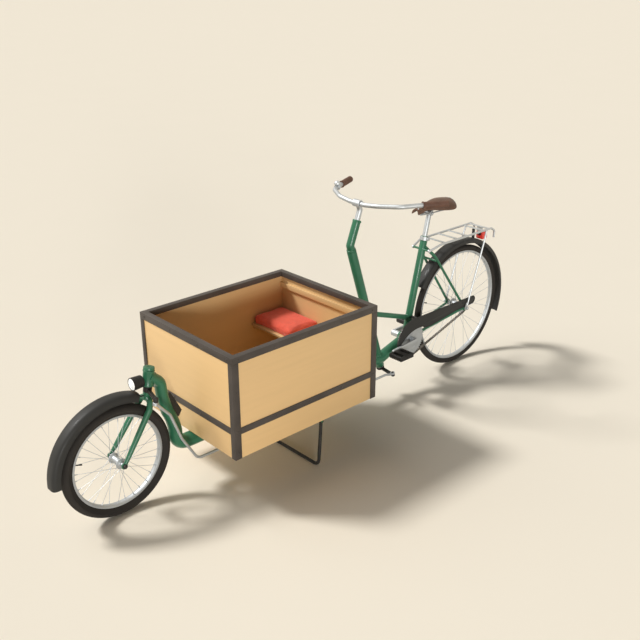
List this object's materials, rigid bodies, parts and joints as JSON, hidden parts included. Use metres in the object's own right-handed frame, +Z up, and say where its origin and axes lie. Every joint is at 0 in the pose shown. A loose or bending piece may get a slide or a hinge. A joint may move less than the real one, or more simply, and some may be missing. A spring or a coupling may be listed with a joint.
{
  "type": "cargo bike",
  "caption": "Two-wheeled cargo bike with a wooden load box and bench between a small front wheel and a large rear wheel, steered by a long rod.",
  "frame": {"origin": "on the floor, under the middle of the bike's length and width", "axes": "+X towards the front wheel, +Y to the rider's left, +Z up"},
  "size_m": [2.8769, 0.6792, 1.1354],
  "materials": {
    "green_paint": "gloss green paint",
    "black_steel": "black powder coat",
    "silver": "satin silver",
    "fender_paint": "gloss dark paint",
    "rubber": "matt black rubber",
    "plywood": "clear satin varnish",
    "cushion_cloth": "woven coral cloth",
    "brown_leather": "smooth brown leather",
    "white_lens": "clear white",
    "red_lens": "clear red",
    "black_plastic": "matt black"
  },
  "bodies": {
    "bike_frame": {"frame_tubes": "green_paint", "down_tube_gusset": "black_steel", "box_floor": "plywood", "box_panel_front": "plywood", "box_panel_rear": "plywood", "box_panel_left": "plywood", "box_panel_right": "plywood", "box_top_rim": "black_steel", "box_post_front_left": "black_steel", "box_post_front_right": "black_steel", "box_post_rear_left": "black_steel", "box_post_rear_right": "black_steel", "box_mid_rail_left": "black_steel", "box_mid_rail_right": "black_steel", "box_mid_rail_front": "black_steel", "bench_board": "plywood", "backrest_ledge": "plywood", "seat_cushion": "cushion_cloth", "headlamp_body": "black_plastic", "headlamp_lens": "white_lens", "rear_fender": "fender_paint", "rear_rack": "silver", "tail_lamp": "red_lens", "chain_guard": "fender_paint", "headset_cup_upper": "black_steel", "headset_cup_lower": "black_steel", "column_bearing_upper": "silver", "column_bearing_lower": "silver", "rear_axle": "silver", "chain": "silver", "seat_clamp": "silver"},
    "front_fork": {"fork": "green_paint", "fork_arm": "black_steel", "front_fender": "fender_paint", "front_axle": "black_steel"},
    "front_wheel": {"front_tyre": "rubber", "front_rim": "silver", "front_hub_spokes": "silver"},
    "column": {"steering_column": "green_paint", "rear_arm": "black_steel"},
    "bar_stem": {"stem": "silver", "handlebar": "silver", "grip_left": "brown_leather", "grip_right": "brown_leather", "bell": "silver"},
    "link_rod": {"steering_rod": "silver"},
    "rear_wheel": {"rear_tyre": "rubber", "rear_rim": "silver", "rear_hub_spokes": "silver"},
    "rear_sprocket": {"sprocket": "silver"},
    "crankset": {"chainring": "silver", "crank_left": "silver", "crank_right": "silver"},
    "left_pedal": {"pedal_left": "black_plastic"},
    "right_pedal": {"pedal_right": "black_plastic"},
    "seat": {"seat_post": "silver", "saddle": "brown_leather"},
    "stand": {"kickstand": "black_steel"}
  },
  "joints": [
    {"name": "fork_steer", "type": "hinge", "parent": "bike_frame", "child": "front_fork", "pos_m": [0.9605, 0, 0.565], "axis": [-0.165, 0, 0.9863], "range_deg": [-28, 28]},
    {"name": "front_wheel_spin", "type": "hinge", "parent": "front_fork", "child": "front_wheel", "pos_m": [1.1365, 0, 0.253], "axis": [0, 1, 0], "continuous": true},
    {"name": "column_steer", "type": "hinge", "parent": "bike_frame", "child": "column", "pos_m": [-0.2105, 0, 0.857], "axis": [0.309, 0, 0.9511], "range_deg": [-32, 32]},
    {"name": "rod_pivot", "type": "hinge", "parent": "column", "child": "link_rod", "pos_m": [-0.40504, 0.11894, 0.17645], "axis": [0.3011, -0.0384, 0.9528], "range_deg": [-32, 32]},
    {"name": "stem_height", "type": "slide", "parent": "column", "child": "bar_stem", "axis": [-0.3502, 0, 0.9367], "range_m": [-0.01, 0.03]},
    {"name": "rear_wheel_spin", "type": "hinge", "parent": "bike_frame", "child": "rear_wheel", "pos_m": [-1.0515, 0, 0.348], "axis": [0, 1, 0], "continuous": true},
    {"name": "crank_spin", "type": "hinge", "parent": "bike_frame", "child": "crankset", "pos_m": [-0.62328, 0, 0.278], "axis": [0, 1, 0], "continuous": true, "deforming": ["chain"]},
    {"name": "sprocket_spin", "type": "hinge", "parent": "bike_frame", "child": "rear_sprocket", "pos_m": [-1.0515, 0, 0.348], "axis": [0, 1, 0], "continuous": true},
    {"name": "left_pedal_spin", "type": "hinge", "parent": "crankset", "child": "left_pedal", "pos_m": [-0.45351, 0.13, 0.2691], "axis": [0, 1, 0], "continuous": true},
    {"name": "right_pedal_spin", "type": "hinge", "parent": "crankset", "child": "right_pedal", "pos_m": [-0.79304, -0.13, 0.2869], "axis": [0, 1, 0], "continuous": true},
    {"name": "seat_height", "type": "slide", "parent": "bike_frame", "child": "seat", "axis": [-0.228, 0, 0.9737], "range_m": [-0.06, 0.08]},
    {"name": "stand_fold", "type": "hinge", "parent": "bike_frame", "child": "stand", "pos_m": [0.2735, 0, 0.235], "axis": [0, 1, 0], "range_deg": [0, 62]}
  ],
  "couplings": [
    {"joint": "column_steer", "follows": "fork_steer", "ratio": 1.1148},
    {"joint": "rod_pivot", "follows": "fork_steer", "ratio": -1.1067},
    {"joint": "sprocket_spin", "follows": "crank_spin", "ratio": 2.6667}
  ]
}
